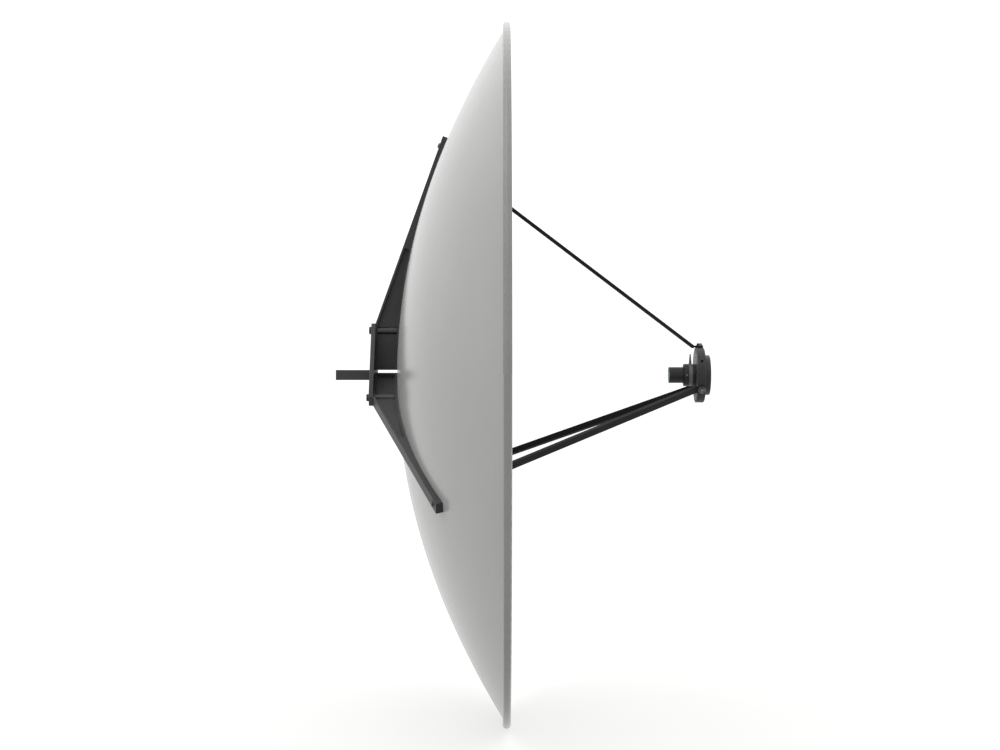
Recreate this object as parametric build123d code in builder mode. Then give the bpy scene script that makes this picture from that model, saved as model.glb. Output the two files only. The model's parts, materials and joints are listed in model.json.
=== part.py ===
from build123d import *
import os
from math import copysign, cos, hypot, radians, sin, sqrt

# A prime-focus reflector antenna of 2.4 m aperture. Millimetres throughout.
# +X is the boresight, from the mounting stub towards the feed, and +Z is up.
# The origin is the middle of the vertical pin hole in the mounting stub.
# Ribs, struts and their fasteners repeat three times round the X axis.

# --- Reflector -------------------------------------------------------------
aperture_radius = 1200.0
focal_length = 975.0
shell_thickness = 6.0
rim_width = 43.0
rim_thickness = 27.0
rim_step = -1.0
rim_edge_radius = 12.5
rim_inner_radius = 4.0

# --- Hub: stub, rear plate, centre tube -------------------------------------
stub_length = 127.0
stub_height = 36.0
stub_corner = 2.0
pin_radius = 6.5
pin_inset = 27.0
plate_thickness = 15.0
plate_margin = 25.0
hub_depth = 85.0
centre_tube_radius = 8.0
centre_tube_wall = 2.5

# --- Ribs -------------------------------------------------------------------
spoke_angles = (0.0, 120.0, 240.0)
spoke_names = ("top", "right", "left")
rib_width = 37.0
rib_root_radius = 18.0
rib_tip_radius = 853.0
rib_tip_gap = 25.6
rib_web = 6.0
rib_outer_flange = 7.0
rib_inner_flange = 9.0
rib_end_wall = 6.0
rib_pocket_end = 454.0
rib_pocket_corner = 5.0
end_cap_thickness = 3.0

# --- Hub bolts and sleeves ---------------------------------------------------
hub_bolt_circle = 159.0
hub_bolt_radius = 8.0
hub_bolt_flats = 24.0
hub_head_height = 9.0
hub_nut_height = 13.0
hub_washer_radius = 15.0
hub_washer_thickness = 3.0
hub_saddle_radius = 20.0
hub_saddle_height = 7.0
sleeve_radius = 13.0

# --- Tip bolts ----------------------------------------------------------------
tip_bolt_place = 819.0
tip_bolt_radius = 5.0
tip_bolt_flats = 16.0
tip_head_height = 6.4
tip_nut_height = 8.0
tip_washer_radius = 10.0
tip_washer_thickness = 2.0

# --- Struts --------------------------------------------------------------------
strut_width = 25.0
strut_thickness = 12.0
strut_foot_thickness = 6.0
strut_foot_reach = 18.0
strut_heel_inset = 36.0
strut_pad_thickness = 5.0
strut_tab_thickness = 6.5
strut_tab_lead = 10.0

# --- Scalar ring at the focus ----------------------------------------------------
ring_past_focus = 83.0
ring_length = 29.0
ring_radius = 98.4
ring_wall = 12.0
ring_base = 6.0
ring_chamfer = 2.5
choke_wall = 3.0
choke_count = 2
leg_hole_radius = 5.1
leg_bolt_radius = 6.0
leg_bolt_flats = 19.0
leg_head_height = 6.5
leg_washer_radius = 13.5
leg_washer_thickness = 2.0
leg_bolt_beyond = 2.0
scalar_cover_thickness = 2.0
scalar_cover_lip = 1.5

# --- Feed barrel and electronics cover ---------------------------------------------
barrel_wall = 10.65
barrel_lead = 12.0
barrel_shoulder = 9.0
circlip_height = 4.3
circlip_clearance = 1.0
cover_radius = 71.5
cover_depth = 16.0
cover_wall = 3.0
cover_edge = 3.0
flange_thickness = 3.0
gasket_thickness = 1.0
gasket_margin = 1.0
board_thickness = 1.6
board_clearance = 2.0
cover_screw_inset = 9.5
cover_screw_radius = 2.0
cover_screw_head_radius = 3.6
cover_screw_head_height = 2.4
cover_screw_boss = 5.0
socket_angles = (252.0, 288.0)
socket_radius = 4.76
socket_bore = 2.6
socket_bore_depth = 8.0
socket_length = 11.0
socket_flats = 11.0
socket_hex_height = 2.0
probe_radius = 1.2
probe_length = 16.0
probe_inset = 3.0

# --- Horn, index pointer and lock collar ----------------------------------------------
mouth_before_focus = 13.0
horn_radius = 28.7
horn_wall = 2.2
horn_lip = 1.2
window_thickness = 2.0
window_inset = 1.0
collar_wall = 11.3
collar_length = 18.0
collar_screw_radius = 3.0
collar_screw_recess = 1.5
pointer_ring_wall = 10.8
pointer_ring_length = 12.7
pointer_reach = 35.5
pointer_base_width = 12.0
pointer_tip_width = 4.0
pointer_thickness = 5.0
circlip_thickness = 1.5
vane_thickness = 2.0
vane_length = 70.0

# --- Clearances ---------------------------------------------------------------------
bolt_clearance = 0.5
slide_clearance = 0.3
turn_clearance = 0.05
face_gap = 0.3
plug_clearance = 0.2

# --- Places worked out from the sizes above --------------------------------------------
plate_back_x = stub_length - pin_inset
plate_front_x = plate_back_x + plate_thickness
vertex_x = plate_front_x + hub_depth
plate_corner_radius = hub_bolt_circle + plate_margin
ring_front_x = vertex_x + focal_length + ring_past_focus
ring_back_x = ring_front_x + ring_length
ring_middle_x = ring_front_x + ring_length / 2
horn_mouth_x = vertex_x + focal_length - mouth_before_focus
barrel_front_x = ring_front_x - barrel_lead
barrel_back_x = ring_back_x + face_gap
flange_back_x = barrel_back_x + flange_thickness
cover_front_x = flange_back_x + gasket_thickness
cover_back_x = cover_front_x + cover_depth
cover_inside_x = cover_back_x - cover_wall
barrel_shoulder_x = barrel_back_x - barrel_shoulder
circlip_x = barrel_shoulder_x + face_gap
horn_back_x = circlip_x + circlip_thickness
pointer_front_x = barrel_front_x - face_gap - pointer_ring_length
collar_front_x = pointer_front_x - collar_length
horn_bore_radius = horn_radius - horn_wall
barrel_bore_radius = horn_radius + turn_clearance
barrel_radius = barrel_bore_radius + barrel_wall
circlip_radius = horn_radius + circlip_height
barrel_counterbore = circlip_radius + circlip_clearance
collar_radius = horn_radius + collar_wall
pointer_ring_radius = horn_radius + pointer_ring_wall
pointer_tip_radius = pointer_ring_radius + pointer_reach
cover_screw_circle = cover_radius - cover_screw_inset
board_radius = cover_screw_circle - cover_screw_boss - board_clearance
socket_x = (cover_front_x + cover_inside_x) / 2
leg_seat_radius = ring_radius + strut_tab_thickness


def dish_x(radius, behind=0.0):
    """Axial place of the reflecting face at a radius, or of a face that far behind it."""
    return vertex_x + radius**2 / (4 * focal_length) - behind


def dish_curve(start_radius, end_radius, behind=0.0):
    """Control points of the one quadratic Bezier that is the parabola between two radii."""
    middle_x = vertex_x + start_radius * end_radius / (4 * focal_length) - behind
    start = (dish_x(start_radius, behind), start_radius)
    end = (dish_x(end_radius, behind), end_radius)
    return [start, (middle_x, (start_radius + end_radius) / 2), end]


def meet_dish(start, direction, behind=0.0):
    """Point where a line from start, in a plane through the axis, meets the parabola."""
    square = direction[1] ** 2 / (4 * focal_length)
    linear = 2 * start[1] * direction[1] / (4 * focal_length) - direction[0]
    offset = dish_x(start[1], behind) - start[0]
    root = sqrt(linear**2 - 4 * square * offset)
    step = 2 * offset / (-linear + copysign(root, -linear))
    return along(start, direction, step)


def along(start, direction, step):
    """Point a distance away from start along a direction."""
    return (start[0] + direction[0] * step, start[1] + direction[1] * step)


def unit(start, end):
    """Unit direction from one point to another."""
    length = hypot(end[0] - start[0], end[1] - start[1])
    return ((end[0] - start[0]) / length, (end[1] - start[1]) / length)


# The rib's straight outer face runs from the plate's corner to the tip. Its direction,
# and the direction square to it towards the dish, place the tip, bolts and strut feet.
rib_heel = (plate_front_x, plate_corner_radius)
rib_tip = (dish_x(rib_tip_radius, shell_thickness + rib_tip_gap), rib_tip_radius)
rib_along = unit(rib_heel, rib_tip)
rib_across = (rib_along[1], -rib_along[0])
rib_end = along(rib_tip, rib_along, -end_cap_thickness)
tip_bolt_step = (tip_bolt_place - rib_heel[1]) / rib_along[1]
tip_bolt_seat = along(rib_heel, rib_along, tip_bolt_step)
tip_bolt_face = meet_dish(tip_bolt_seat, rib_across)
foot_seat = along(tip_bolt_face, rib_across, strut_pad_thickness)
foot_top = along(foot_seat, rib_across, strut_foot_thickness)
strut_heel_base = along(foot_seat, rib_along, -strut_heel_inset)
strut_heel = along(strut_heel_base, rib_across, strut_thickness / 2)
strut_head = (ring_front_x - strut_tab_lead, ring_radius + strut_tab_thickness / 2)
tip_bolt_grip = hypot(foot_top[0] - tip_bolt_seat[0], foot_top[1] - tip_bolt_seat[1])


def spoke_plane(angle):
    """Plane through the axis at an angle round it, with X axial and Y radial."""
    turn = radians(angle)
    return Plane(origin=(0, 0, 0), x_dir=(1, 0, 0), z_dir=(0, -cos(turn), -sin(turn)))


def face_plane(x):
    """Plane square to the axis at an axial place, facing +X."""
    return Plane(origin=(x, 0, 0), x_dir=(0, 1, 0), z_dir=(1, 0, 0))


def slanted_plane(angle, point):
    """Plane square to a rib's outer face at a point of that rib's own plane, facing the dish."""
    spoke = spoke_plane(angle)
    normal = spoke.x_dir * rib_across[0] + spoke.y_dir * rib_across[1]
    return Plane(origin=spoke.from_local_coords(Vector(point[0], point[1], 0)),
                 x_dir=spoke.z_dir, z_dir=normal)


def radial_plane(angle, x, radius):
    """Plane that faces outwards at an axial place and a radius."""
    spoke = spoke_plane(angle)
    origin = spoke.from_local_coords(Vector(x, radius, 0))
    return Plane(origin=origin, x_dir=(1, 0, 0), z_dir=spoke.y_dir)


def bar_corners(start, end, thickness):
    """Four corners of a straight bar's outline about its centre line."""
    direction = unit(start, end)
    side = (-direction[1] * thickness / 2, direction[0] * thickness / 2)
    return [(start[0] + side[0], start[1] + side[1]), (end[0] + side[0], end[1] + side[1]),
            (end[0] - side[0], end[1] - side[1]), (start[0] - side[0], start[1] - side[1])]


def ring_box(inner, outer, start_x, end_x):
    """Corners of a ring's section, from its inner radius at the front round to the back."""
    return [(start_x, inner), (start_x, outer), (end_x, outer), (end_x, inner)]


def save(piece, name):
    """Label a finished piece and write it as one STEP file."""
    piece.part.label = name
    export_step(piece.part, f"parts/{name}.step")


def turned(points, mode=Mode.ADD):
    """Turn a closed section of straight edges about the boresight, in the open part."""
    with BuildSketch(Plane.XZ) as section:
        with BuildLine():
            Polyline(*points, close=True)
        make_face()
    revolve(section.sketch, axis=Axis.X, mode=mode)


def drilled(plane, radius, depth, mode=Mode.SUBTRACT):
    """Round hole or rod from a plane along its normal, in the open part."""
    with BuildSketch(plane) as outline:
        Circle(radius)
    extrude(outline.sketch, amount=depth, mode=mode)


# --- Reflector ---------------------------------------------------------------

def make_reflector():
    """Paraboloid shell with holes for the three hub bolts and the three tip bolts."""
    with BuildPart() as reflector:
        with BuildSketch(Plane.XZ):
            with BuildLine():
                front = dish_curve(0, aperture_radius)
                back = dish_curve(0, aperture_radius, shell_thickness)
                Bezier(*front)
                Line(front[2], back[2])
                Bezier(*reversed(back))
                Line(back[0], front[0])
            make_face()
        revolve(axis=Axis.X)
        with BuildSketch(face_plane(plate_front_x)):
            with PolarLocations(hub_bolt_circle, len(spoke_angles), start_angle=90):
                Circle(hub_bolt_radius + bolt_clearance)
        extrude(amount=2 * hub_depth, mode=Mode.SUBTRACT)
        for angle in spoke_angles:
            drilled(slanted_plane(angle, tip_bolt_seat), tip_bolt_radius + bolt_clearance,
                    2 * tip_bolt_grip)
    save(reflector, "reflector")
    return reflector


def make_rim():
    """Rounded rim bead that carries the shell's edge out to the largest radius."""
    inner_front = (dish_x(aperture_radius), aperture_radius)
    inner_back = (dish_x(aperture_radius, shell_thickness), aperture_radius)
    rear_x = inner_front[0] + rim_step
    front_x = rear_x + rim_thickness
    outer = aperture_radius + rim_width
    slope = 2 * focal_length / aperture_radius
    fairing = (rear_x, aperture_radius + (rear_x - inner_back[0]) * slope)
    with BuildPart() as rim:
        with BuildSketch(Plane.XZ):
            with BuildLine():
                Polyline(inner_front, inner_back, fairing, (rear_x, outer), (front_x, outer),
                         (front_x, aperture_radius), close=True)
            make_face()
            fillet(vertices().group_by(Axis.Y)[-1], rim_edge_radius)
            fillet(vertices().group_by(Axis.X)[-1].sort_by(Axis.Y)[0], rim_inner_radius)
        revolve(axis=Axis.X)
    save(rim, "rim_bead")


# --- Hub -----------------------------------------------------------------------

def make_rear_plate():
    """Triangular rear plate with cut corners, one behind each rib."""
    corners = []
    for angle in spoke_angles:
        plane = spoke_plane(angle)
        for side in (-1, 1):
            local = Vector(0, plate_corner_radius, side * rib_width / 2)
            point = plane.from_local_coords(local)
            corners.append((point.Y, point.Z))
    with BuildPart() as plate:
        with BuildSketch(face_plane(plate_back_x)):
            with BuildLine():
                Polyline(*corners, close=True)
            make_face()
            with PolarLocations(hub_bolt_circle, len(spoke_angles), start_angle=90):
                Circle(hub_bolt_radius + bolt_clearance, mode=Mode.SUBTRACT)
        extrude(amount=plate_thickness)
        chamfer(faces().sort_by(Axis.X)[0].outer_wire().edges(), 1.0)
    save(plate, "rear_plate")


def make_centre_tube():
    """Spacer tube on the axis, from the rear plate to the back of the reflector."""
    with BuildPart() as tube:
        turned(ring_box(centre_tube_radius - centre_tube_wall, centre_tube_radius,
                        plate_front_x, vertex_x - shell_thickness))
    save(tube, "centre_tube")


def make_stub():
    """Square mounting stub with a vertical hole for the mount's pin."""
    with BuildPart() as stub:
        with BuildSketch(face_plane(-pin_inset)):
            RectangleRounded(stub_height, stub_height, stub_corner)
        extrude(amount=stub_length)
        chamfer(faces().sort_by(Axis.X)[0].edges(), stub_corner / 2)
        drilled(Plane.XY.offset(-stub_height), pin_radius, 2 * stub_height)
    save(stub, "mount_stub")


# --- Ribs ------------------------------------------------------------------------

def rib_pocket_outline():
    """Corners of the side pocket, and the two radii between which it follows the dish."""
    behind = shell_thickness + rib_inner_flange
    wall_x = plate_front_x + rib_end_wall
    lower = rib_root_radius + rib_end_wall
    flange = along(rib_heel, rib_across, rib_outer_flange)
    heel = along(flange, rib_along, (wall_x - flange[0]) / rib_along[0])
    far = along(flange, rib_along, (rib_pocket_end - flange[1]) / rib_along[1])
    near_dish = meet_dish(far, rib_across, behind)
    corners = [(dish_x(lower, behind), lower), (wall_x, lower), heel, far, near_dish]
    return corners, dish_curve(near_dish[1], lower, behind)


def make_rib(angle, name):
    """Tapered arm of I section near the hub and solid towards the tip."""
    spoke = spoke_plane(angle)
    tip_corner = meet_dish(rib_end, rib_across, shell_thickness)
    root_x = dish_x(rib_root_radius, shell_thickness)
    pocket_corners, pocket_curve = rib_pocket_outline()
    with BuildPart() as rib:
        with BuildSketch(spoke):
            with BuildLine():
                Polyline((root_x, rib_root_radius), (plate_front_x, rib_root_radius),
                         rib_heel, rib_end, tip_corner)
                Bezier(*dish_curve(tip_corner[1], rib_root_radius, shell_thickness))
            make_face()
        extrude(amount=rib_width / 2, both=True)
        for side in (-1, 1):
            with BuildSketch(spoke.offset(side * rib_web / 2)):
                with BuildLine():
                    Polyline(*pocket_corners)
                    Bezier(*pocket_curve)
                make_face()
                fillet(vertices(), rib_pocket_corner)
            extrude(amount=side * rib_width, mode=Mode.SUBTRACT)
        bolt_axis = spoke.from_local_coords(Vector(plate_front_x, hub_bolt_circle, 0))
        bolt_plane = Plane(origin=bolt_axis, x_dir=(0, 1, 0), z_dir=(1, 0, 0))
        drilled(bolt_plane, hub_bolt_radius + bolt_clearance, 2 * hub_depth)
        drilled(bolt_plane.offset(rib_end_wall), sleeve_radius, sleeve_length())
        drilled(slanted_plane(angle, tip_bolt_seat).offset(-tip_bolt_grip),
                tip_bolt_radius + bolt_clearance, 3 * tip_bolt_grip)
    save(rib, name)


def sleeve_length():
    """Length of a bolt sleeve between the rib's plate side and its dish-side flange."""
    flange_x = dish_x(hub_bolt_circle - sleeve_radius, shell_thickness + rib_inner_flange)
    return flange_x - plate_front_x - rib_end_wall


def make_end_caps():
    """Plates that close the three rib tips."""
    outer_corner = rib_tip
    inner_corner = meet_dish(rib_tip, rib_across, shell_thickness)
    rib_corner = meet_dish(rib_end, rib_across, shell_thickness)
    with BuildPart() as caps:
        for angle in spoke_angles:
            with BuildSketch(spoke_plane(angle)):
                with BuildLine():
                    Polyline(rib_end, outer_corner, inner_corner, rib_corner, close=True)
                make_face()
            extrude(amount=rib_width / 2, both=True)
    save(caps, "rib_end_caps")


# --- Hub bolts --------------------------------------------------------------------

def hub_circle(draw, x, depth, mode=Mode.ADD):
    """Repeat one round or hexagonal shape on the hub's bolt circle, in the open part."""
    with BuildSketch(face_plane(x)) as outline:
        with PolarLocations(hub_bolt_circle, len(spoke_angles), start_angle=90):
            draw()
    extrude(outline.sketch, amount=depth, mode=mode)


def hexagon(flats):
    """A drawing function for a hexagon of a width across flats."""
    return lambda: RegularPolygon(flats / 2, 6, major_radius=False)


def disc(radius, hole=0.0):
    """A drawing function for a disc with a hole."""
    def draw():
        Circle(radius)
        if hole:
            Circle(hole, mode=Mode.SUBTRACT)
    return draw


def make_hub_fasteners(reflector):
    """Through bolts with sleeves behind the dish, and saddles, washers and nuts inside it."""
    hole = hub_bolt_radius + bolt_clearance
    with BuildPart() as sleeves:
        hub_circle(disc(sleeve_radius, hole), plate_front_x + rib_end_wall, sleeve_length())
    save(sleeves, "hub_sleeves")

    saddle_front_x = dish_x(hub_bolt_circle) + hub_saddle_height
    washer_front_x = saddle_front_x + hub_washer_thickness
    nut_front_x = washer_front_x + hub_nut_height
    with BuildPart() as bolts:
        hub_circle(hexagon(hub_bolt_flats), plate_back_x - hub_head_height, hub_head_height)
        head_faces = faces().filter_by(Axis.X).group_by(Axis.X)[0]
        chamfer(head_faces.edges(), 1.5)
        hub_circle(disc(hub_bolt_radius), plate_back_x,
                   nut_front_x + hub_bolt_radius / 2 - plate_back_x)
    save(bolts, "hub_bolts")

    with BuildPart() as saddles:
        hub_circle(disc(hub_saddle_radius, hole), vertex_x, saddle_front_x - vertex_x)
        add(reflector.part, mode=Mode.SUBTRACT)
    with BuildPart() as kept_saddles:
        for solid in saddles.part.solids().sort_by(in_front)[-len(spoke_angles):]:
            add(solid)
    save(kept_saddles, "hub_saddles")

    with BuildPart() as washers:
        hub_circle(disc(hub_washer_radius, hole), saddle_front_x, hub_washer_thickness)
    save(washers, "hub_washers")

    with BuildPart() as nuts:
        hub_circle(hexagon(hub_bolt_flats), washer_front_x, hub_nut_height)
        hub_circle(disc(hub_bolt_radius), washer_front_x, hub_nut_height, Mode.SUBTRACT)
    save(nuts, "hub_nuts")


# --- Struts and their feet -------------------------------------------------------------

def make_strut(angle, name):
    """Flat bar from a foot on the dish to a tab on the scalar ring."""
    spoke = spoke_plane(angle)
    foot_outer = along(foot_seat, rib_along, strut_foot_reach)
    foot_middle = along(strut_heel_base, rib_across, strut_foot_thickness / 2)
    foot_end = along(foot_outer, rib_across, strut_foot_thickness / 2)
    tab_end = (ring_back_x - ring_chamfer, strut_head[1])
    with BuildPart() as strut:
        with BuildSketch(spoke):
            with BuildLine():
                Polyline(*bar_corners(strut_heel, strut_head, strut_thickness), close=True)
            make_face()
            with BuildLine():
                Polyline(*bar_corners(foot_middle, foot_end, strut_foot_thickness), close=True)
            make_face()
            with BuildLine():
                Polyline(*bar_corners(strut_head, tab_end, strut_tab_thickness), close=True)
            make_face()
            with Locations(strut_heel):
                Circle(strut_thickness / 2)
            with Locations(strut_head):
                Circle(strut_thickness / 2)
            with BuildLine():
                Polyline(*ring_box(0, ring_radius, ring_front_x - face_gap, ring_back_x), close=True)
            make_face(mode=Mode.SUBTRACT)
        extrude(amount=strut_width / 2, both=True)
        drilled(slanted_plane(angle, tip_bolt_seat), tip_bolt_radius + bolt_clearance,
                2 * tip_bolt_grip)
        drilled(radial_plane(angle, ring_middle_x, 0), leg_bolt_radius + bolt_clearance,
                2 * ring_radius)
    save(strut, name)


def make_strut_pads(reflector):
    """Wedge pads that seat the flat strut feet on the curved dish."""
    with BuildPart() as blocks:
        for angle in spoke_angles:
            seat = slanted_plane(angle, foot_seat)
            reach = strut_foot_reach + strut_heel_inset
            middle = (strut_foot_reach - strut_heel_inset) / 2
            with BuildSketch(seat):
                with Locations((0, foot_direction(seat, angle) * middle)):
                    Rectangle(strut_width, reach)
                Circle(tip_bolt_radius + bolt_clearance, mode=Mode.SUBTRACT)
            extrude(amount=-2 * strut_pad_thickness)
        add(reflector.part, mode=Mode.SUBTRACT)
    with BuildPart() as pads:
        for solid in blocks.part.solids().sort_by(in_front)[-len(spoke_angles):]:
            add(solid)
    save(pads, "strut_pads")


def foot_direction(plane, angle):
    """Sign of the plane's own Y axis along the rib, outwards."""
    spoke = spoke_plane(angle)
    outward = spoke.x_dir * rib_along[0] + spoke.y_dir * rib_along[1]
    return 1 if plane.y_dir.dot(outward) > 0 else -1


def in_front(solid):
    """How far a solid's centre lies in front of the reflecting face."""
    centre = solid.center()
    return centre.X - dish_x(hypot(centre.Y, centre.Z))


def make_tip_fasteners():
    """Bolts through rib, dish and strut foot, with a washer and nut on each foot."""
    hole = tip_bolt_radius + bolt_clearance
    with BuildPart() as bolts:
        for angle in spoke_angles:
            seat = slanted_plane(angle, tip_bolt_seat)
            with BuildSketch(seat):
                RegularPolygon(tip_bolt_flats / 2, 6, major_radius=False)
            extrude(amount=-tip_head_height)
            length = tip_bolt_grip + tip_washer_thickness + tip_nut_height + tip_bolt_radius / 2
            drilled(seat, tip_bolt_radius, length, Mode.ADD)
    save(bolts, "tip_bolts")
    with BuildPart() as washers:
        for angle in spoke_angles:
            with BuildSketch(slanted_plane(angle, foot_top)):
                Circle(tip_washer_radius)
                Circle(hole, mode=Mode.SUBTRACT)
            extrude(amount=tip_washer_thickness)
    save(washers, "tip_washers")
    with BuildPart() as nuts:
        for angle in spoke_angles:
            with BuildSketch(slanted_plane(angle, foot_top).offset(tip_washer_thickness)):
                RegularPolygon(tip_bolt_flats / 2, 6, major_radius=False)
                Circle(tip_bolt_radius, mode=Mode.SUBTRACT)
            extrude(amount=tip_nut_height)
    save(nuts, "tip_nuts")


# --- Scalar ring -------------------------------------------------------------------------

def make_scalar_ring():
    """Ring with concentric choke walls, open towards the dish, and six tapped rim holes."""
    base_x = ring_back_x - ring_base
    hub_inner = barrel_radius + slide_clearance
    hub_outer = hub_inner + choke_wall
    rim_inner = ring_radius - ring_wall
    choke_pitch = (rim_inner + choke_wall - hub_outer) / (choke_count + 1)
    choke_front_x = ring_front_x + scalar_cover_thickness
    with BuildPart() as ring:
        turned(ring_box(hub_inner, ring_radius, base_x, ring_back_x))
        turned(ring_box(rim_inner, ring_radius, ring_front_x, ring_back_x))
        for step in range(choke_count + 1):
            outer = hub_outer + step * choke_pitch
            turned(ring_box(outer - choke_wall, outer, choke_front_x, ring_back_x))
        turned(ring_box(rim_inner, rim_inner + scalar_cover_lip, ring_front_x, choke_front_x),
               Mode.SUBTRACT)
        rear_edge = edges().filter_by(GeomType.CIRCLE).group_by(Axis.X)[-1].sort_by(SortBy.RADIUS)[-1]
        chamfer(rear_edge, ring_chamfer)
        for step in range(2 * len(spoke_angles)):
            hole_plane = radial_plane(60.0 * step, ring_middle_x, ring_radius - 1.5 * ring_wall)
            drilled(hole_plane, leg_hole_radius, 2 * ring_wall)
    save(ring, "scalar_ring")


def make_scalar_cover():
    """Thin cover over the choke grooves, seated in the ring's front lip."""
    with BuildPart() as cover:
        outer = ring_radius - ring_wall + scalar_cover_lip
        turned(ring_box(barrel_radius + slide_clearance, outer, ring_front_x,
                        ring_front_x + scalar_cover_thickness))
    save(cover, "scalar_cover")


def make_leg_fasteners():
    """Screws and washers that hold the three strut tabs to the ring."""
    with BuildPart() as washers:
        for angle in spoke_angles:
            with BuildSketch(radial_plane(angle, ring_middle_x, leg_seat_radius)):
                Circle(leg_washer_radius)
                Circle(leg_bolt_radius + bolt_clearance, mode=Mode.SUBTRACT)
            extrude(amount=leg_washer_thickness)
    save(washers, "leg_washers")
    with BuildPart() as screws:
        for angle in spoke_angles:
            head = radial_plane(angle, ring_middle_x, leg_seat_radius + leg_washer_thickness)
            with BuildSketch(head):
                RegularPolygon(leg_bolt_flats / 2, 6, major_radius=False)
            extrude(amount=leg_head_height)
            length = leg_washer_thickness + strut_tab_thickness + ring_wall + leg_bolt_beyond
            drilled(head, leg_hole_radius, -length, Mode.ADD)
    save(screws, "leg_screws")


# --- Feed barrel and electronics ------------------------------------------------------------

def cover_screws_at(draw, x, depth, mode=Mode.ADD):
    """Repeat a shape on the cover's four screw places, in the open part."""
    with BuildSketch(face_plane(x)) as outline:
        with PolarLocations(cover_screw_circle, 4, start_angle=45):
            draw()
    extrude(outline.sketch, amount=depth, mode=mode)


def make_barrel():
    """Barrel that slides in the ring's bore, with a flange that carries the electronics."""
    with BuildPart() as barrel:
        turned(ring_box(barrel_bore_radius, barrel_radius, barrel_front_x, barrel_back_x))
        turned(ring_box(barrel_bore_radius, cover_radius, barrel_back_x, flange_back_x))
        turned(ring_box(barrel_bore_radius, barrel_counterbore, barrel_shoulder_x,
                        flange_back_x), Mode.SUBTRACT)
        cover_screws_at(disc(cover_screw_radius), barrel_back_x, flange_thickness, Mode.SUBTRACT)
    save(barrel, "feed_barrel")


def make_gasket():
    """Flat gasket between the barrel's flange and the cover."""
    with BuildPart() as gasket:
        turned(ring_box(cover_screw_circle - cover_screw_boss, cover_radius - gasket_margin,
                        flange_back_x, cover_front_x))
        cover_screws_at(disc(cover_screw_radius), flange_back_x, gasket_thickness, Mode.SUBTRACT)
    save(gasket, "cover_gasket")


def make_cover():
    """Round cup cover with screw bosses and side holes for the two cable sockets."""
    boss_depth = cover_inside_x - cover_front_x
    head_x = cover_back_x - cover_screw_head_height - plug_clearance
    with BuildPart() as cover:
        turned(ring_box(cover_radius - cover_wall, cover_radius, cover_front_x, cover_back_x))
        turned(ring_box(0, cover_radius, cover_inside_x, cover_back_x))
        rear_edge = edges().filter_by(GeomType.CIRCLE).group_by(Axis.X)[-1]
        fillet(rear_edge, cover_edge)
        cover_screws_at(disc(cover_screw_boss), cover_front_x, boss_depth)
        cover_screws_at(disc(cover_screw_radius), cover_front_x, cover_depth, Mode.SUBTRACT)
        cover_screws_at(disc(cover_screw_head_radius + plug_clearance), head_x,
                        cover_back_x - head_x, Mode.SUBTRACT)
        for angle in socket_angles:
            drilled(radial_plane(angle, socket_x, cover_radius - 2 * cover_wall), socket_radius,
                    3 * cover_wall)
    save(cover, "rear_cover")


def make_cover_screws():
    """Four cover screws, sunk in the cover's rear face."""
    head_x = cover_back_x - cover_screw_head_height - plug_clearance
    with BuildPart() as screws:
        cover_screws_at(disc(cover_screw_head_radius), head_x, cover_screw_head_height)
        cover_screws_at(disc(cover_screw_radius), barrel_back_x, head_x - barrel_back_x)
        cover_screws_at(lambda: RegularPolygon(cover_screw_radius, 6),
                        head_x + cover_screw_head_height / 2, cover_screw_head_height, Mode.SUBTRACT)
    save(screws, "cover_screws")


def make_sockets():
    """Two F-type cable sockets that stand out of the cover's far side."""
    with BuildPart() as sockets:
        for angle in socket_angles:
            seat = radial_plane(angle, socket_x, cover_radius)
            drilled(seat.offset(-2 * cover_wall), socket_radius, socket_length + 2 * cover_wall,
                    Mode.ADD)
            with BuildSketch(seat):
                RegularPolygon(socket_flats / 2, 6, major_radius=False)
            extrude(amount=socket_hex_height)
            drilled(seat.offset(socket_length - socket_bore_depth), socket_bore,
                    socket_bore_depth)
    save(sockets, "cable_sockets")


def make_board():
    """Low-noise amplifier board between the gasket and the socket pockets."""
    board_x = flange_back_x + face_gap
    with BuildPart() as board:
        with BuildSketch(face_plane(board_x)):
            Circle(board_radius)
        extrude(amount=board_thickness)
    save(board, "amplifier_board")


def make_probes():
    """Two pick-up probes at right angles, fixed in the barrel behind the horn."""
    probe_x = barrel_back_x - probe_inset
    wall_radius = sqrt(barrel_counterbore**2 - probe_radius**2)
    with BuildPart() as probes:
        for turn in (0.0, 90.0):
            drilled(radial_plane(turn, probe_x, wall_radius), probe_radius, -probe_length, Mode.ADD)
    save(probes, "pickup_probes")


# --- Horn and polarisation pointer --------------------------------------------------------------

def make_horn():
    """Round waveguide horn that turns in the barrel, with a thickened mouth band."""
    with BuildPart() as horn:
        turned(ring_box(horn_bore_radius, horn_radius, horn_mouth_x, horn_back_x))
        mouth_edge = edges().filter_by(GeomType.CIRCLE).group_by(Axis.X)[0].sort_by(SortBy.RADIUS)[-1]
        chamfer(mouth_edge, horn_lip)
    save(horn, "horn_tube")


def make_window():
    """Thin weather window just inside the horn's mouth."""
    start_x = horn_mouth_x + window_inset
    with BuildPart() as window:
        turned([(start_x, 0), (start_x, horn_bore_radius),
                (start_x + window_thickness, horn_bore_radius), (start_x + window_thickness, 0)])
    save(window, "horn_window")


def make_vane():
    """Dielectric plate across the horn's bore, which turns with the horn."""
    middle_x = (horn_mouth_x + horn_back_x) / 2
    width = 2 * (horn_bore_radius - plug_clearance)
    with BuildPart() as vane:
        with BuildSketch(Plane.XZ.offset(-vane_thickness / 2)):
            with Locations((middle_x, 0)):
                Rectangle(vane_length, width - vane_thickness)
        extrude(amount=vane_thickness)
    save(vane, "polariser_vane")


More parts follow.
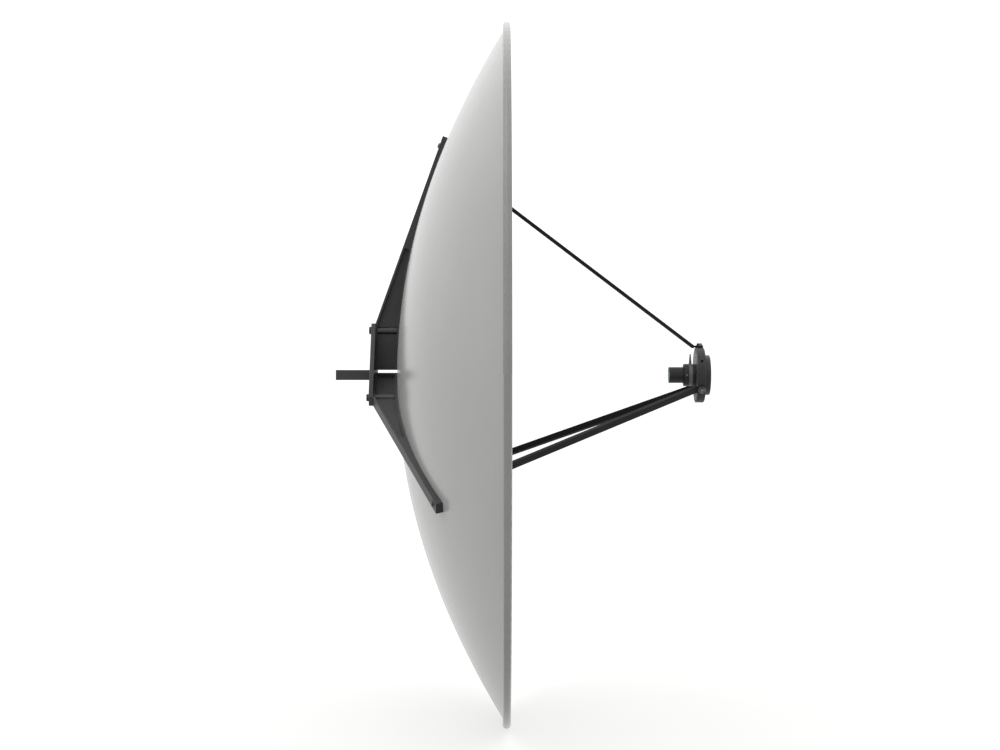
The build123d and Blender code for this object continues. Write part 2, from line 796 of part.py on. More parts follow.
def make_collar():
    """Lock collar that clamps the horn in its turned place."""
    collar_middle_x = collar_front_x + collar_length / 2
    with BuildPart() as collar:
        turned(ring_box(horn_radius, collar_radius, collar_front_x, pointer_front_x))
        edge = edges().filter_by(GeomType.CIRCLE).group_by(Axis.X)[0].sort_by(SortBy.RADIUS)[-1]
        chamfer(edge, horn_lip)
        for angle in (90.0, 270.0):
            drilled(radial_plane(angle, collar_middle_x, collar_radius), collar_screw_radius,
                    horn_radius - collar_radius)
    save(collar, "lock_collar")
    with BuildPart() as screws:
        for angle in (90.0, 270.0):
            plane = radial_plane(angle, collar_middle_x, collar_radius - collar_screw_recess)
            drilled(plane, collar_screw_radius, horn_radius + collar_screw_recess - collar_radius,
                    Mode.ADD)
            with BuildSketch(plane):
                RegularPolygon(collar_screw_radius / 2, 6)
            extrude(amount=-collar_screw_radius, mode=Mode.SUBTRACT)
    save(screws, "collar_screws")


def make_pointer():
    """Ring behind the lock collar with one upright fin that shows the horn's turn."""
    middle_x = pointer_front_x + pointer_ring_length / 2
    root = horn_radius + horn_wall
    base = pointer_base_width / 2
    tip = pointer_tip_width / 2
    with BuildPart() as pointer:
        turned(ring_box(horn_radius, pointer_ring_radius, pointer_front_x,
                        pointer_front_x + pointer_ring_length))
        with BuildSketch(Plane.XZ):
            with BuildLine():
                Polyline((middle_x - base, root), (middle_x - tip, pointer_tip_radius),
                         (middle_x + tip, pointer_tip_radius), (middle_x + base, root), close=True)
            make_face()
        extrude(amount=pointer_thickness / 2, both=True)
    save(pointer, "index_pointer")


def make_circlip():
    """Spring clip that keeps the horn from pulling out of the barrel."""
    with BuildPart() as clip:
        turned(ring_box(horn_radius, circlip_radius, circlip_x, circlip_x + circlip_thickness))
    save(clip, "horn_circlip")


def main():
    """Build and write every piece."""
    os.makedirs("parts", exist_ok=True)
    reflector = make_reflector()
    make_rim()
    make_rear_plate()
    make_centre_tube()
    make_stub()
    for angle, name in zip(spoke_angles, spoke_names):
        make_rib(angle, f"rib_{name}")
        make_strut(angle, f"strut_{name}")
    make_end_caps()
    make_hub_fasteners(reflector)
    make_strut_pads(reflector)
    make_tip_fasteners()
    make_scalar_ring()
    make_scalar_cover()
    make_leg_fasteners()
    make_barrel()
    make_gasket()
    make_cover()
    make_cover_screws()
    make_sockets()
    make_board()
    make_probes()
    make_horn()
    make_window()
    make_vane()
    make_collar()
    make_pointer()
    make_circlip()


main()
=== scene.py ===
"""Looks of a prime-focus dish antenna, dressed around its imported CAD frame. Metres throughout."""
import json
import logging
from collections.abc import Callable
from dataclasses import dataclass
from enum import Enum
from math import cos, hypot, pi, radians, sin, sqrt

import bpy
import numpy as np
from mathutils import Matrix, Vector


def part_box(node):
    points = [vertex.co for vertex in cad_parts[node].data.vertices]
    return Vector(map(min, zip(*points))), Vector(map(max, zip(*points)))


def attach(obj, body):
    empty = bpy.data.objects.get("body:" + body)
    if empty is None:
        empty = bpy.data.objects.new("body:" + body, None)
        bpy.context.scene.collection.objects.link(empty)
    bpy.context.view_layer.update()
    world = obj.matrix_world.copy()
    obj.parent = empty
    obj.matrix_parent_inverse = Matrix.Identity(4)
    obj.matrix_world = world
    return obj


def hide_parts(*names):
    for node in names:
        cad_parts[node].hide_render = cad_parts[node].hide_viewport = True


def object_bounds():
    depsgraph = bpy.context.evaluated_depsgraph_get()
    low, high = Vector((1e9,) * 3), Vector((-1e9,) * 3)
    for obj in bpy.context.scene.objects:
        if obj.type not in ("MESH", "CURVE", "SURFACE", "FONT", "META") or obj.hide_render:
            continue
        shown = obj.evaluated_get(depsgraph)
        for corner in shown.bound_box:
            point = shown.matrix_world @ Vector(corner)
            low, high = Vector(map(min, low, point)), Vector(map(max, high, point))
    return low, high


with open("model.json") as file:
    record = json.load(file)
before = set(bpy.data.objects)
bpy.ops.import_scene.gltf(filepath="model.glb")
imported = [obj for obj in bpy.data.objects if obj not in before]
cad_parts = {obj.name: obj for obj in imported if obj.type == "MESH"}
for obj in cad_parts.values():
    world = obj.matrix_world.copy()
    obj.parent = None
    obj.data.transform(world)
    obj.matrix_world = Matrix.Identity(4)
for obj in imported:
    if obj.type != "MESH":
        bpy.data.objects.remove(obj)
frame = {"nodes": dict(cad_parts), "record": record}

CAD_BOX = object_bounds()
MM = 0.001
LOG = logging.getLogger("dish_antenna")
SLOTS = {row["node"]: row["material_slot"] for row in frame["record"]["subparts"]}


class Body(Enum):
    """The three bodies that pieces ride on."""

    ANTENNA = "antenna"
    CARRIAGE = "feed_carriage"
    POLARISER = "polariser"


class Spoke(Enum):
    """The three spokes round the boresight, by their angle from the top."""

    TOP = 0.0
    RIGHT = 120.0
    LEFT = 240.0


class Surface(Enum):
    """How a surface was made, which sets its relief."""

    SPRAYED = "sprayed"
    MOULDED = "moulded"
    TURNED = "turned"
    WOVEN = "woven"


# --- Finishes -----------------------------------------------------------------------------

# Dried dust: a warm pale grey that lies in specks of this size.
DUST_HEX = "#8C8880"
SPECK_MM = 9.0
# Wear starts and is full where the rounded normal leans this far off, as a cosine.
WEAR_START = 0.995
WEAR_FULL = 0.80
WEAR_SAMPLES = 6
# Marks of turning and drawing are stretched along the boresight.
TURNED_STRETCH = (0.12, 1.0, 1.0)
EVEN_STRETCH = (1.0, 1.0, 1.0)


def linear(colour: str) -> tuple[float, float, float, float]:
    """Turn an sRGB hex colour into a linear one.

    Args:
        colour: six hex digits after a hash.

    Returns:
        Linear red, green and blue, with full alpha.
    """
    parts = [int(colour[place:place + 2], 16) / 255 for place in (1, 3, 5)]
    made = [part / 12.92 if part <= 0.04045 else ((part + 0.055) / 1.055) ** 2.4 for part in parts]
    return made[0], made[1], made[2], 1.0


def add_node(tree: bpy.types.NodeTree, kind: str, settings: dict | None = None,
             links: dict | None = None) -> bpy.types.Node:
    """Add one shader node with its settings and links.

    Args:
        tree: the material's node tree.
        kind: the node's type name.
        settings: values by socket or property name; a number in a tuple picks a socket by place.
        links: output sockets by the name or place of the input that they feed.

    Returns:
        The new node.
    """
    node = tree.nodes.new(kind)
    for key, value in (settings or {}).items():
        if isinstance(key, int) or key in node.inputs:
            node.inputs[key].default_value = value
        else:
            setattr(node, key, value)
    for key, source in (links or {}).items():
        tree.links.new(source, node.inputs[key])
    return node


@dataclass(frozen=True)
class Finish:
    """One real material and surface, as a shader that reads object coordinates."""

    name: str
    light: str
    dark: str
    roughness: tuple[float, float]
    surface: Surface = Surface.SPRAYED
    metallic: float = 0.0
    specular: float = 0.25
    ior: float = 1.5
    coat: float = 0.0
    subsurface: float = 0.0
    patch_mm: float = 140.0
    grain_mm: float = 3.0
    grain_height_mm: float = 0.08
    wear: str = ""
    wear_mm: float = 1.5
    dust: float = 0.0

    def material(self) -> bpy.types.Material:
        """Make the material, or find it if it was made before.

        Returns:
            The material.
        """
        found = bpy.data.materials.get(self.name)
        if found is not None:
            return found
        made = bpy.data.materials.new(self.name)
        made.use_nodes = True
        tree = made.node_tree
        tree.nodes.clear()
        place = add_node(tree, "ShaderNodeTexCoord")
        colour = self._colour(tree, place)
        grain = self._grain(tree, place)
        rough = add_node(tree, "ShaderNodeMapRange",
                         {"To Min": self.roughness[0], "To Max": self.roughness[1]},
                         {"Value": grain})
        bump = add_node(tree, "ShaderNodeBump",
                        {"Strength": 1.0, "Distance": self.grain_height_mm * MM}, {"Height": grain})
        settings = {"Metallic": self.metallic, "Coat Weight": self.coat, "Coat Roughness": 0.25,
                    "Subsurface Weight": self.subsurface}
        if not self.metallic:
            settings.update({"IOR": self.ior, "Specular IOR Level": self.specular})
        shader = add_node(tree, "ShaderNodeBsdfPrincipled", settings,
                          {"Base Color": colour, "Roughness": rough.outputs["Result"],
                           "Normal": bump.outputs["Normal"]})
        add_node(tree, "ShaderNodeOutputMaterial", None, {"Surface": shader.outputs["BSDF"]})
        return made

    def _colour(self, tree: bpy.types.NodeTree, place: bpy.types.Node) -> bpy.types.NodeSocket:
        """Mix a slow drift between two tones, then dust on upward faces, then worn edges.

        Args:
            tree: the material's node tree.
            place: its texture coordinate node.

        Returns:
            The colour socket.
        """
        drift = add_node(tree, "ShaderNodeTexNoise",
                         {"Scale": 1 / (self.patch_mm * MM), "Detail": 5.0, "Roughness": 0.62},
                         {"Vector": place.outputs["Object"]})
        spread = add_node(tree, "ShaderNodeMapRange", {"From Min": 0.3, "From Max": 0.7},
                          {"Value": drift.outputs["Fac"]})
        mixed = add_node(tree, "ShaderNodeMix", {"data_type": "RGBA", 6: linear(self.dark),
                                                 7: linear(self.light)},
                         {0: spread.outputs["Result"]})
        colour = mixed.outputs[2]
        if self.dust:
            colour = self._dusted(tree, place, colour)
        if self.wear:
            colour = self._worn(tree, drift, colour)
        return colour

    def _dusted(self, tree: bpy.types.NodeTree, place: bpy.types.Node,
                colour: bpy.types.NodeSocket) -> bpy.types.NodeSocket:
        """Lay pale dust over the faces that look up.

        Args:
            tree: the material's node tree.
            place: its texture coordinate node.
            colour: the colour under the dust.

        Returns:
            The dusted colour socket.
        """
        upward = add_node(tree, "ShaderNodeSeparateXYZ", None, {"Vector": place.outputs["Normal"]})
        specks = add_node(tree, "ShaderNodeTexNoise", {"Scale": 1 / (SPECK_MM * MM), "Detail": 3.0},
                          {"Vector": place.outputs["Object"]})
        lying = add_node(tree, "ShaderNodeMath", {"operation": "MULTIPLY", "use_clamp": True},
                         {0: upward.outputs["Z"], 1: specks.outputs["Fac"]})
        share = add_node(tree, "ShaderNodeMath", {"operation": "MULTIPLY", 1: self.dust},
                         {0: lying.outputs["Value"]})
        mixed = add_node(tree, "ShaderNodeMix", {"data_type": "RGBA", 7: linear(DUST_HEX)},
                         {0: share.outputs["Value"], 6: colour})
        return mixed.outputs[2]

    def _worn(self, tree: bpy.types.NodeTree, drift: bpy.types.Node,
              colour: bpy.types.NodeSocket) -> bpy.types.NodeSocket:
        """Rub the coating thin along the edges, more in some places than in others.

        Args:
            tree: the material's node tree.
            drift: the slow noise that also moves the tone.
            colour: the colour of the whole coating.

        Returns:
            The worn colour socket.
        """
        rounded = add_node(tree, "ShaderNodeBevel",
                           {"samples": WEAR_SAMPLES, "Radius": self.wear_mm * MM})
        flat = add_node(tree, "ShaderNodeNewGeometry")
        along = add_node(tree, "ShaderNodeVectorMath", {"operation": "DOT_PRODUCT"},
                         {0: rounded.outputs["Normal"], 1: flat.outputs["Normal"]})
        edge = add_node(tree, "ShaderNodeMapRange", {"From Min": WEAR_START, "From Max": WEAR_FULL},
                        {"Value": along.outputs["Value"]})
        share = add_node(tree, "ShaderNodeMath", {"operation": "MULTIPLY", "use_clamp": True},
                         {0: edge.outputs["Result"], 1: drift.outputs["Fac"]})
        mixed = add_node(tree, "ShaderNodeMix", {"data_type": "RGBA", 7: linear(self.wear)},
                         {0: share.outputs["Value"], 6: colour})
        return mixed.outputs[2]

    def _grain(self, tree: bpy.types.NodeTree, place: bpy.types.Node) -> bpy.types.NodeSocket:
        """Make the surface's fine relief.

        Args:
            tree: the material's node tree.
            place: its texture coordinate node.

        Returns:
            The height socket, from 0 to 1.
        """
        stretch = TURNED_STRETCH if self.surface is Surface.TURNED else EVEN_STRETCH
        turned = add_node(tree, "ShaderNodeMapping", {"Scale": stretch},
                          {"Vector": place.outputs["Object"]})
        scale = 1 / (self.grain_mm * MM)
        if self.surface is Surface.MOULDED:
            cells = add_node(tree, "ShaderNodeTexVoronoi", {"Scale": scale},
                             {"Vector": turned.outputs["Vector"]})
            return cells.outputs["Distance"]
        if self.surface is Surface.WOVEN:
            warp = add_node(tree, "ShaderNodeTexWave", {"Scale": scale / pi, "bands_direction": "Y"},
                            {"Vector": turned.outputs["Vector"]})
            weft = add_node(tree, "ShaderNodeTexWave", {"Scale": scale / pi, "bands_direction": "Z"},
                            {"Vector": turned.outputs["Vector"]})
            cloth = add_node(tree, "ShaderNodeMath", {"operation": "MAXIMUM"},
                             {0: warp.outputs["Fac"], 1: weft.outputs["Fac"]})
            return cloth.outputs["Value"]
        noise = add_node(tree, "ShaderNodeTexNoise", {"Scale": scale, "Detail": 4.0},
                         {"Vector": turned.outputs["Vector"]})
        return noise.outputs["Fac"]


# A grain under 3 mm is drawn coarser than the real one, so that it shows on a piece this size.

# Satin gel coat on glass fibre: an even pale grey, with a faint slow drift and a soft glow.
GEL_COAT = Finish("satin_gel_coat_on_glass_fibre", "#898988", "#858584", (0.15, 0.27),
                  specular=0.22, patch_mm=420.0, grain_mm=9.0, grain_height_mm=0.10, dust=0.04)
# The same gel coat, shinier where it lay against a polished mould; its darker tone is painted shade
# on the rim bead.
SHADED_RIM_GEL_COAT = Finish("polished_gel_coat_rim", "#737372", "#6C6C6B", (0.14, 0.24),
                      specular=0.30, patch_mm=260.0, grain_mm=7.0, grain_height_mm=0.04)
# Dark powder coat on steel plate: fine orange peel, edges rubbed a little paler.
FRAME_PAINT = Finish("dark_powder_coat_on_steel", "#343435", "#2C2C2D", (0.40, 0.60),
                     specular=0.22, grain_mm=4.0, grain_height_mm=0.10, wear="#66666A",
                     wear_mm=1.6, dust=0.08)
# The same powder coat on flat bar, drawn darker as painted shade on the struts.
SHADED_STRUT_PAINT = Finish("dark_powder_coat_on_flat_bar", "#181819", "#131314", (0.42, 0.58),
                     specular=0.10, grain_mm=4.0, grain_height_mm=0.08, wear="#4A4A4D",
                     wear_mm=1.2, dust=0.05)
# Moulded polyethylene cap: waxy dark grey with a spark-eroded grain.
CAP_PLASTIC = Finish("moulded_polyethylene_cap", "#2B2B2C", "#252526", (0.50, 0.62),
                     Surface.MOULDED, specular=0.25, grain_mm=2.0, grain_height_mm=0.05)
# Dull passivated tube: dark metal with marks drawn along it.
SLEEVE_STEEL = Finish("passivated_steel_tube", "#4A4A4C", "#3C3C3E", (0.40, 0.60),
                      Surface.TURNED, metallic=1.0, patch_mm=40.0, grain_mm=2.0,
                      grain_height_mm=0.03)
# Zinc plate on steel: soft grey shine, mottled by handling.
ZINC = Finish("zinc_plated_steel", "#6A6C6F", "#505255", (0.28, 0.50), Surface.TURNED,
              metallic=1.0, patch_mm=9.0, grain_mm=1.5, grain_height_mm=0.02,
              wear="#C9CBCD", wear_mm=0.6)
# Black phosphate on steel: dark, dry-looking bolts that only shine on their rubbed edges.
BLACK_STEEL = Finish("black_phosphated_steel", "#262628", "#1B1B1D", (0.38, 0.58),
                     Surface.TURNED, specular=0.25, patch_mm=9.0, grain_mm=1.5,
                     grain_height_mm=0.02, wear="#6E6E72", wear_mm=0.5)
# Moulded rubber: near black, dry and fully matt.
RUBBER = Finish("moulded_black_rubber", "#161616", "#111111", (0.75, 0.90), Surface.MOULDED,
                specular=0.2, grain_mm=1.6, grain_height_mm=0.06, dust=0.12)
# Sprayed paint on cast aluminium: dark grey, with the casting's slight unevenness.
CAST_PAINT = Finish("sprayed_paint_on_cast_aluminium", "#2A2A2B", "#222223", (0.40, 0.58),
                    specular=0.18, patch_mm=35.0, grain_mm=3.0, grain_height_mm=0.12,
                    wear="#7A7A7D", wear_mm=1.0, dust=0.06)
# Mid grey moulded plastic, satin: even, with a fine eroded grain. Its grey is partly painted
# reflection: it is drawn lighter than the dark feed parts to stand in for the bright dish mirrored on
# the face towards it.
FEED_PLASTIC_WITH_PAINTED_REFLECTION = Finish("moulded_grey_asa_plastic", "#5E5E5D", "#575756", (0.38, 0.48),
                      Surface.MOULDED, specular=0.35, patch_mm=60.0, grain_mm=1.6,
                      grain_height_mm=0.03)
# Dark moulded cover: satin plastic that picks up soft highlights on its rounded edge.
COVER_PLASTIC = Finish("moulded_dark_asa_cover", "#262627", "#202021", (0.34, 0.46),
                       Surface.MOULDED, specular=0.22, patch_mm=60.0, grain_mm=1.6,
                       grain_height_mm=0.04, dust=0.10)
# Paint on drawn tube: dark grey, smoother than the castings, with faint lines along it.
HORN_PAINT = Finish("satin_paint_on_drawn_tube", "#1D1D1E", "#171718", (0.26, 0.38),
                    Surface.TURNED, specular=0.20, patch_mm=30.0, grain_mm=2.0,
                    grain_height_mm=0.03, wear="#8E8E90", wear_mm=0.9)
# Skived fluoropolymer: milky white and slightly see-through.
PTFE = Finish("skived_white_fluoropolymer", "#E6E5E0", "#DAD9D4", (0.45, 0.55), Surface.TURNED,
              specular=0.3, ior=1.35, subsurface=0.3, patch_mm=25.0, grain_mm=1.5,
              grain_height_mm=0.02)
# Glass-epoxy laminate: green lacquer over a woven cloth that just shows.
LAMINATE = Finish("green_glass_epoxy_laminate", "#1E4A2C", "#173F25", (0.28, 0.40),
                  Surface.WOVEN, specular=0.5, coat=0.4, patch_mm=20.0, grain_mm=1.2,
                  grain_height_mm=0.03)
# Bright nickel on brass: warm, smooth metal.
NICKEL = Finish("nickel_plated_brass", "#BDB6A4", "#A39C8B", (0.18, 0.32), Surface.TURNED,
                metallic=1.0, patch_mm=6.0, grain_mm=1.2, grain_height_mm=0.01)
# The same dark coat over weld metal: a little glossier than the plate, with paler ridges.
WELD_PAINT = Finish("painted_weld_metal", "#2C2C2D", "#222223", (0.30, 0.45), specular=0.3,
                    patch_mm=12.0, grain_mm=1.6, grain_height_mm=0.05, wear="#606064",
                    wear_mm=0.8)

NODE_FINISHES = {
    "dish_gelcoat": GEL_COAT, "rim_gelcoat": SHADED_RIM_GEL_COAT, "frame_paint": FRAME_PAINT,
    "cap_plastic": CAP_PLASTIC, "sleeve_steel": SLEEVE_STEEL, "zinc_steel": ZINC,
    "strut_paint": SHADED_STRUT_PAINT, "pad_rubber": RUBBER, "scalar_paint": CAST_PAINT,
    "feed_plastic": FEED_PLASTIC_WITH_PAINTED_REFLECTION, "cover_plastic": COVER_PLASTIC, "horn_paint": HORN_PAINT,
    "ptfe": PTFE, "board_laminate": LAMINATE, "nickel_brass": NICKEL,
}


def dress_nodes() -> None:
    """Give every CAD node the finish of its record slot."""
    for name, node in frame["nodes"].items():
        material = NODE_FINISHES[SLOTS[name]].material()
        for holder in node.material_slots:
            holder.material = material
        LOG.info("%s wears %s", name, material.name)


# --- Bench work: steps shared by every modelled piece ---------------------------------------

# A face is a piece's end when its normal has at least this much of the Z axis.
END_FACE = 0.9
# Corners of the CAD mesh nearer than this are one corner.
MERGE_DISTANCE = 0.01 * MM


def deselect() -> None:
    """Leave edit mode with nothing selected."""
    if bpy.context.mode != "OBJECT":
        bpy.ops.object.mode_set(mode="OBJECT")
    bpy.ops.object.select_all(action="DESELECT")


def pick(piece: bpy.types.Object) -> None:
    """Select one piece alone and make it active.

    Args:
        piece: the piece to work on.
    """
    deselect()
    piece.select_set(True)
    bpy.context.view_layer.objects.active = piece


def edit_faces(piece: bpy.types.Object, wanted: Callable[[bpy.types.MeshPolygon], bool]) -> None:
    """Open a piece in edit mode with some of its faces selected.

    Args:
        piece: the piece to open.
        wanted: tells whether a face is to be selected.
    """
    pick(piece)
    bpy.ops.object.mode_set(mode="EDIT")
    bpy.ops.mesh.select_mode(type="FACE")
    bpy.ops.mesh.select_all(action="DESELECT")
    bpy.ops.object.mode_set(mode="OBJECT")
    for face in piece.data.polygons:
        face.select = wanted(face)
    bpy.ops.object.mode_set(mode="EDIT")


def edit_end(piece: bpy.types.Object, side: int = 1) -> None:
    """Open a piece in edit mode with one of its ends selected.

    Args:
        piece: the piece to open.
        side: 1 for the upper end, -1 for the lower one.
    """
    edit_faces(piece, lambda face: face.normal.z * side > END_FACE)


def raise_faces(height: float, scale: float) -> None:
    """Extrude the selected end along Z and scale the new end about the Z axis.

    Args:
        height: how far the end moves up.
        scale: the new end's size, as a share of the old one's.
    """
    bpy.ops.mesh.extrude_region_move(TRANSFORM_OT_translate={"value": (0.0, 0.0, height)})
    bpy.ops.transform.resize(value=(scale, scale, 1.0), center_override=(0.0, 0.0, 0.0))


def apply_modifier(piece: bpy.types.Object, kind: str, **settings: object) -> None:
    """Add one modifier to a piece and apply it.

    Args:
        piece: the piece to change.
        kind: the modifier's type.
        **settings: the modifier's own settings.
    """
    pick(piece)
    bpy.ops.object.modifier_add(type=kind)
    modifier = piece.modifiers[-1]
    for key, value in settings.items():
        setattr(modifier, key, value)
    bpy.ops.object.modifier_apply(modifier=modifier.name)


def cylinder(radius: float, low: float, high: float, sides: int = 32) -> bpy.types.Object:
    """Start a round piece on the Z axis.

    Args:
        radius: its radius.
        low: the height of its lower end.
        high: the height of its upper end.
        sides: the number of flat sides.

    Returns:
        The piece, with its place in its mesh.
    """
    deselect()
    bpy.ops.mesh.primitive_cylinder_add(vertices=sides, radius=radius, depth=high - low,
                                        location=(0.0, 0.0, (low + high) / 2))
    bpy.ops.object.transform_apply(location=True, rotation=True, scale=True)
    return bpy.context.object


def joined(pieces: list[bpy.types.Object]) -> bpy.types.Object:
    """Join several pieces into the first one.

    Args:
        pieces: the pieces, which are used up.

    Returns:
        The first piece, with the others in it.
    """
    pick(pieces[0])
    for piece in pieces:
        piece.select_set(True)
    bpy.ops.object.join()
    return bpy.context.object


def placed_copy(piece: bpy.types.Object, place: Matrix) -> bpy.types.Object:
    """Copy a piece with its own mesh and settle the copy at a place.

    Args:
        piece: the piece that was modelled once.
        place: where the copy goes.

    Returns:
        The copy, with its place in its mesh.
    """
    made = piece.copy()
    made.data = piece.data.copy()
    bpy.context.scene.collection.objects.link(made)
    made.matrix_world = place
    pick(made)
    bpy.ops.object.transform_apply(location=True, rotation=True, scale=True)
    return made


def merged_copy(node: str) -> bpy.types.Object:
    """Copy a CAD node's mesh into a new piece whose triangles share their corners.

    Args:
        node: the CAD node, which stays as it is.

    Returns:
        The copy, still in edit mode with everything selected.
    """
    piece = bpy.data.objects.new(f"{node}_copy", frame["nodes"][node].data.copy())
    bpy.context.scene.collection.objects.link(piece)
    pick(piece)
    bpy.ops.mesh.customdata_custom_splitnormals_clear()
    bpy.ops.object.mode_set(mode="EDIT")
    bpy.ops.mesh.select_all(action="SELECT")
    bpy.ops.mesh.remove_doubles(threshold=MERGE_DISTANCE)
    return piece


def discard(piece: bpy.types.Object) -> None:
    """Remove a piece that was only a pattern."""
    bpy.data.objects.remove(piece)


def hand_over(piece: bpy.types.Object, name: str, body: Body,
              finish: Finish, replaces: tuple[str, ...] = (), crease: float = 35.0) -> None:
    """Name, shade, dress and mount a finished piece.

    Args:
        piece: the finished piece.
        name: its name in the table.
        body: the body that it rides on.
        finish: what it is made of.
        replaces: CAD nodes that it stands for.
        crease: edges sharper than this many degrees stay sharp.
    """
    piece.name = name
    piece.data.name = name
    piece.data.materials.clear()
    piece.data.materials.append(finish.material())
    pick(piece)
    bpy.ops.object.shade_smooth_by_angle(angle=radians(crease))
    apply_modifier(piece, "WEIGHTED_NORMAL", keep_sharp=True)
    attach(piece, body.value)
    if replaces:
        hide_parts(*replaces)
    LOG.info("%s rides on %s with %d faces", name, body.value, len(piece.data.polygons))


def facing(origin: Vector, axis: Vector, twist: float = 0.0) -> Matrix:
    """Find the place that puts a piece's Z axis along a direction.

    Args:
        origin: where the piece's own origin goes.
        axis: the direction.
        twist: turn about that direction, in radians.

    Returns:
        The place, as a matrix.
    """
    turn = axis.to_track_quat("Z", "Y").to_matrix().to_4x4()
    return Matrix.Translation(origin) @ turn @ Matrix.Rotation(twist, 4, "Z")


def round_axis(angle: float) -> Vector:
    """Find the direction square to the boresight at an angle from the top.

    Args:
        angle: degrees round the boresight.

    Returns:
        The unit direction, outwards.
    """
    return Vector((0.0, -sin(radians(angle)), cos(radians(angle))))


# --- Fasteners --------------------------------------------------------------------------------


@dataclass(frozen=True)
class Seat:
    """Where one CAD fastener lies: its rear end, its axis and its length."""

    foot: Vector
    axis: Vector
    length: float


def seats(node: str, axis: Callable[[Spoke, np.ndarray], Vector]) -> dict[Spoke, Seat]:
    """Find the three fasteners of a CAD node, one for each spoke.

    Args:
        node: the CAD node that holds them.
        axis: the direction that a fastener points in, from its spoke and its points.

    Returns:
        The seat of each spoke's fastener.
    """
    points = np.array([vertex.co for vertex in frame["nodes"][node].data.vertices])
    points = np.unique(points.round(6), axis=0)
    found = {}
    for spoke in Spoke:
        out = np.array(round_axis(spoke.value))
        own = points[points @ out > np.hypot(points[:, 1], points[:, 2]) / 2]
        line = axis(spoke, own)
        centre = Vector((own.min(0) + own.max(0)) / 2)
        reach = (own - np.array(centre)) @ np.array(line)
        found[spoke] = Seat(centre + line * reach.min(), line, reach.max() - reach.min())
    return found


def ahead(_spoke: Spoke, _points: np.ndarray) -> Vector:
    """Point along the boresight."""
    return Vector((1.0, 0.0, 0.0))


def outward(spoke: Spoke, _points: np.ndarray) -> Vector:
    """Point out from the boresight."""
    return round_axis(spoke.value)


def lengthwise(_spoke: Spoke, points: np.ndarray) -> Vector:
    """Point forwards along a long fastener's own length.

    Args:
        _spoke: the fastener's spoke, not needed here.
        points: the fastener's corners.

    Returns:
        The unit direction in which the points spread most.
    """
    spread = np.linalg.eigh(np.cov((points - points.mean(0)).T))[1][:, -1]
    return Vector(spread if spread[0] > 0 else -spread)


@dataclass
class HexBlock:
    """A bolt head or nut: a hexagon whose corners are turned off by a cone.

    The shares are of the width over flats, but for the lathe's end, which is one of its radius.
    """

    flats: float
    height: float
    recess: float = 0.0
    crown_share: float = 0.06
    lathe_end_share: float = 0.82
    rim_share: float = 0.12
    recess_slope_share: float = 0.05
    lathe_sides: int = 48

    def build(self) -> bpy.types.Object:
        """Make the block on the XY plane.

        Returns:
            The block, standing up along Z from zero.
        """
        corner = self.flats / sqrt(3)
        crown = self.crown_share * self.flats
        block = cylinder(corner, 0.0, self.height, 6)
        lathe = cylinder(corner, crown, self.height - crown, self.lathe_sides)
        for side in (1, -1):
            edit_end(lathe, side)
            raise_faces(side * crown, self.lathe_end_share)
        deselect()
        apply_modifier(block, "BOOLEAN", object=lathe, operation="INTERSECT", solver="EXACT")
        discard(lathe)
        if self.recess:
            edit_end(block, -1)
            bpy.ops.mesh.inset(thickness=self.rim_share * self.flats, depth=0.0)
            bpy.ops.mesh.inset(thickness=self.recess_slope_share * self.flats, depth=-self.recess)
            deselect()
        return block


@dataclass
class ThreadedRod:
    """A round shank that ends in thread ridges and a chamfered tip."""

    radius: float
    low: float
    high: float
    pitch: float
    turns: int
    bore: float = 0.0
    bore_depth: float = 0.0
    depth_per_pitch: float = 0.55
    bore_taper: float = 0.98
    sides: int = 28

    def build(self) -> bpy.types.Object:
        """Make the rod along Z.

        Returns:
            The rod, between its two heights.
        """
        root = 1.0 - self.depth_per_pitch * self.pitch / self.radius
        shank_end = self.high - (self.turns + 0.5) * self.pitch
        rod = cylinder(self.radius, self.low, shank_end, self.sides)
        edit_end(rod)
        for _ in range(self.turns):
            raise_faces(self.pitch / 2, root)
            raise_faces(self.pitch / 2, 1 / root)
        raise_faces(self.pitch / 2, root)
        if self.bore:
            bpy.ops.mesh.inset(thickness=self.radius * root - self.bore, depth=0.0)
            raise_faces(-self.bore_depth, self.bore_taper)
        deselect()
        return rod


@dataclass(frozen=True)
class BoltSet:
    """Three bolts of one size, modelled once and placed on the three spokes."""

    node: str
    axis: Callable[[Spoke, np.ndarray], Vector]
    radius: float
    flats: float
    head: float
    pitch: float
    turns: int
    head_at_far_end: bool = False
    finish: Finish = ZINC
    recess_share: float = 0.08
    first_twist: float = 9.0
    next_twist: float = 17.0

    def build(self) -> None:
        """Model one bolt and place the three copies, each turned a little differently."""
        found = seats(self.node, self.axis)
        length = next(iter(found.values())).length
        head = HexBlock(self.flats, self.head, recess=self.recess_share * self.flats).build()
        rod = ThreadedRod(self.radius, self.head / 2, length, self.pitch, self.turns).build()
        bolt = joined([head, rod])
        for number, (spoke, seat) in enumerate(found.items()):
            twist = radians(self.next_twist * number + self.first_twist)
            place = facing(seat.foot, seat.axis, twist)
            if self.head_at_far_end:
                place = facing(seat.foot + seat.axis * seat.length, -seat.axis, twist)
            piece = placed_copy(bolt, place)
            name = f"{self.node[:-1]}_{spoke.name.lower()}"
            hand_over(piece, name, Body.ANTENNA, self.finish, (self.node,))
        discard(bolt)


